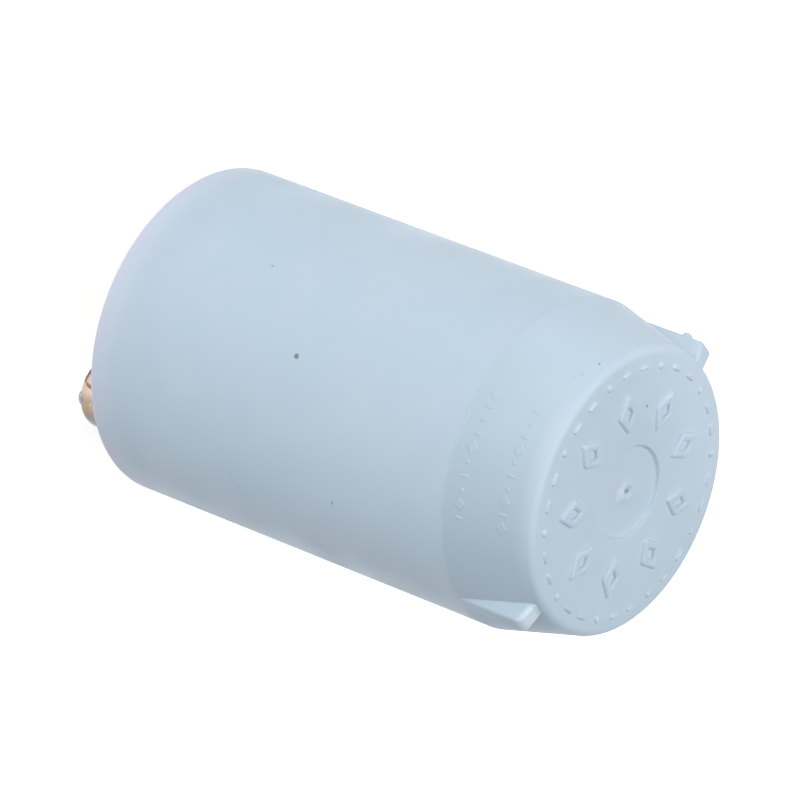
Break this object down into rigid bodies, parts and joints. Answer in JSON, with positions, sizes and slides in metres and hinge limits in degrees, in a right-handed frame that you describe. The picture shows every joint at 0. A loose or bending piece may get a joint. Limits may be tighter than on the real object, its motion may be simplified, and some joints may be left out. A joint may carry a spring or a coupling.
{
  "type": "fluorescent starter",
  "caption": "Plug-in glow starter for a fluorescent lamp: a closed plastic can with a tapered, finned end, and round-headed contact pins on its base.",
  "frame": {"origin": "on the can's axis, in the plane of the contact pins' tips", "axes": "+Z along the can's axis from the pins to the closed end, +X along the row of the two pins"},
  "size_m": [0.0214, 0.0214, 0.0391],
  "materials": {
    "housing_plastic": "satin moulded polycarbonate, pale blue-grey white",
    "plate_plastic": "matt insulating board, off-white",
    "pin_brass": "turned brass, dulled, with a tinned nib",
    "solder": "soft solder, satin",
    "lamp_glass": "clear blown glass",
    "lead_wire": "tinned wire",
    "electrode_nickel": "bare nickel",
    "bimetal": "rolled bimetal strip",
    "capacitor_resin": "moulded amber-brown resin"
  },
  "bodies": {
    "starter": {"housing": "housing_plastic", "base_plate": "plate_plastic", "contact_pin_a": "pin_brass", "contact_pin_b": "pin_brass", "pin_solder_a": "solder", "pin_solder_b": "solder", "lamp_envelope": "lamp_glass", "lamp_lead_a": "lead_wire", "lamp_lead_b": "lead_wire", "fixed_electrode": "electrode_nickel", "capacitor_body": "capacitor_resin", "capacitor_lead_a": "lead_wire", "capacitor_lead_b": "lead_wire"},
    "bimetal": {"bimetal_strip": "bimetal"}
  },
  "joints": [
    {"name": "bimetal_bend", "type": "hinge", "parent": "starter", "child": "bimetal", "pos_m": [0.00182, -0.00453, 0.01855], "axis": [0, -1, 0], "range_deg": [0, 3.9], "stiffness_Nm_per_rad": 0.02}
  ]
}
